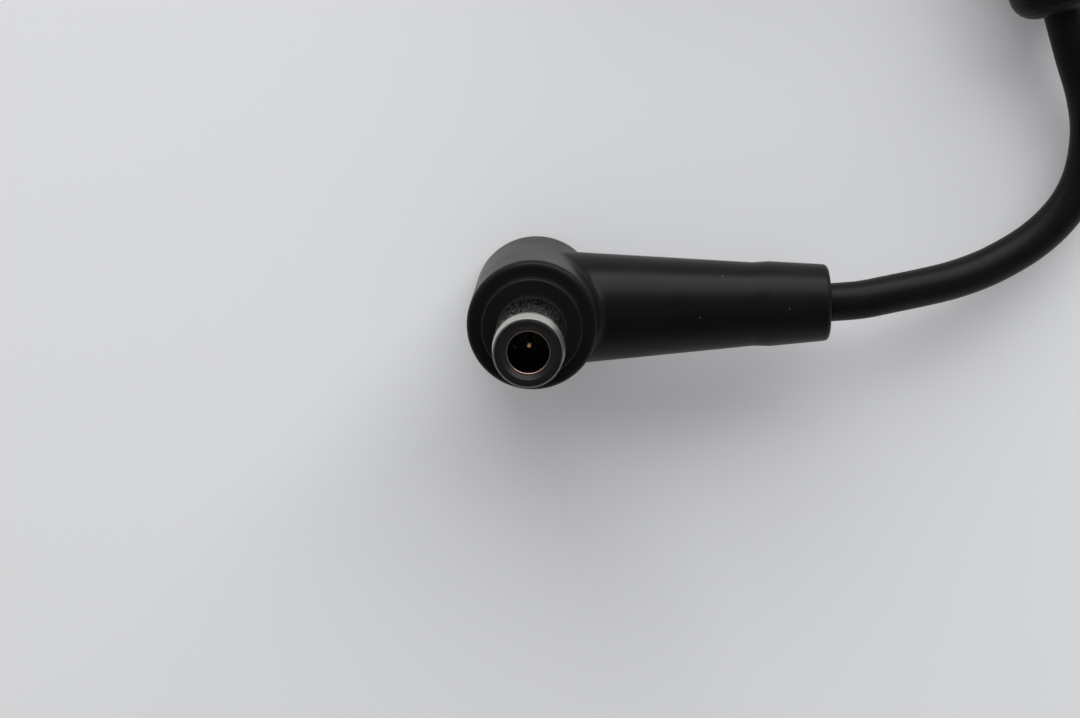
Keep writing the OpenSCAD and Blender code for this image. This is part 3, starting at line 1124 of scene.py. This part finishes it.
@dataclass
class Studio:
    """The pale floor, the soft light and the camera.

    The camera's place is in millimetres, and the rest in metres. The sky is a
    grey level for each height of the view, from 0 at the horizon to 1 overhead.
    """

    camera_at: Point = (7.003, 40.133, 225.304)
    camera_right: Point = (0.99936, -0.02570, -0.02484)
    camera_up: Point = (0.02000, 0.97808, -0.20727)
    camera_back: Point = (0.02962, 0.20664, 0.97797)
    camera_range: tuple[float, float] = (0.005, 20.0)
    lens_mm: float = 66.344
    sensor_mm: float = 36.0
    floor_side: float = 3.0
    floor_colour: str = "#eeeff1"
    floor_roughness: float = 0.9
    floor_specular: float = 0.2
    floor_glow: float = 0.09
    floor_glow_colour: str = "#fafbff"
    sky: Sequence[tuple[float, float]] = (
        (0.0, 0.9), (0.35, 0.45), (0.8, 0.15), (0.9, 0.15), (0.97, 0.32), (1.0, 0.34),
    )
    sky_strength: float = 1.0
    lights: Sequence[SoftLight] = (
        SoftLight(
            "window",
            at=(0.231, 0.861, 0.454),
            towards=(0.0, 0.0, 0.0),
            size=(1.3, 0.75),
            power=10.6,
        ),
        SoftLight(
            "low_window",
            at=(-0.1, 1.146, 0.17),
            towards=(0.0, 0.0, 0.17),
            size=(3.0, 0.3),
            power=9.9,
        ),
    )

    def camera(self) -> None:
        """Makes the camera."""
        data = bpy.data.cameras.new("camera")
        data.sensor_width = self.sensor_mm
        data.lens = self.lens_mm
        data.clip_start, data.clip_end = self.camera_range
        turn = Matrix((self.camera_right, self.camera_up, self.camera_back))
        place = Matrix.Translation(Vector(self.camera_at) * MM)
        piece = add_object("camera", data)
        piece.matrix_world = place @ turn.transposed().to_4x4()
        bpy.context.scene.camera = piece

    def card(self) -> bpy.types.Material:
        """Makes the floor's material: matt card that shows paler than it lights.

        Returns:
            The material.
        """
        material = bpy.data.materials.new("card_matt")
        material.use_nodes = True
        tree = material.node_tree
        tree.nodes.clear()
        path = add_node(tree, "LightPath")
        seen = path.outputs["Is Camera Ray"]
        for kind in ("Is Glossy Ray", "Is Transmission Ray"):
            seen = add_node(
                tree, "Math", {"operation": "MAXIMUM"}, {0: seen, 1: path.outputs[kind]}
            ).outputs[0]
        glow = add_node(
            tree, "Math", {"operation": "MULTIPLY", 1: self.floor_glow}, {0: seen}
        )
        shader = add_node(
            tree,
            "BsdfPrincipled",
            {
                "Base Color": linear(self.floor_colour),
                "Roughness": self.floor_roughness,
                "Specular IOR Level": self.floor_specular,
                "Emission Color": linear(self.floor_glow_colour),
            },
            {"Emission Strength": glow.outputs[0]},
        )
        add_node(tree, "OutputMaterial", links={"Surface": shader.outputs["BSDF"]})
        return material

    def floor(self) -> None:
        """Makes the floor."""
        mesh = bpy.data.meshes.new("floor")
        form = bmesh.new()
        bmesh.ops.create_grid(
            form, x_segments=1, y_segments=1, size=self.floor_side / 2
        )
        form.to_mesh(mesh)
        form.free()
        mesh.materials.append(self.card())
        add_object("floor", mesh)

    def world(self) -> None:
        """Makes the surround: pale near the floor and dim overhead."""
        world = bpy.data.worlds.new("surround")
        bpy.context.scene.world = world
        world.use_nodes = True
        tree = world.node_tree
        tree.nodes.clear()
        up = add_node(tree, "TexCoord").outputs["Generated"]
        height = add_node(tree, "SeparateXYZ", links={0: up})
        level = add_node(
            tree, "ValToRGB", links={"Fac": height.outputs["Z"]}, stops=self.sky
        )
        background = add_node(
            tree,
            "Background",
            {"Strength": self.sky_strength},
            {"Color": level.outputs["Color"]},
        )
        add_node(
            tree, "OutputWorld", links={"Surface": background.outputs["Background"]}
        )

    def build(self) -> None:
        """Makes all of it."""
        self.camera()
        self.floor()
        self.world()
        for light in self.lights:
            light.build()
        bpy.context.scene.view_settings.view_transform = "Standard"


def main() -> None:
    """Builds the studio and the plug."""
    logging.basicConfig(level=logging.INFO, format="%(message)s")
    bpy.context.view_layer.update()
    Studio().build()
    cord = Cord()
    cord.build(BareEnd().build())
    cord.dress()
    Bead().dress()
    Body().dress()
    Barrel().dress()
    Pin().build()


if __name__ == "__main__":
    main()
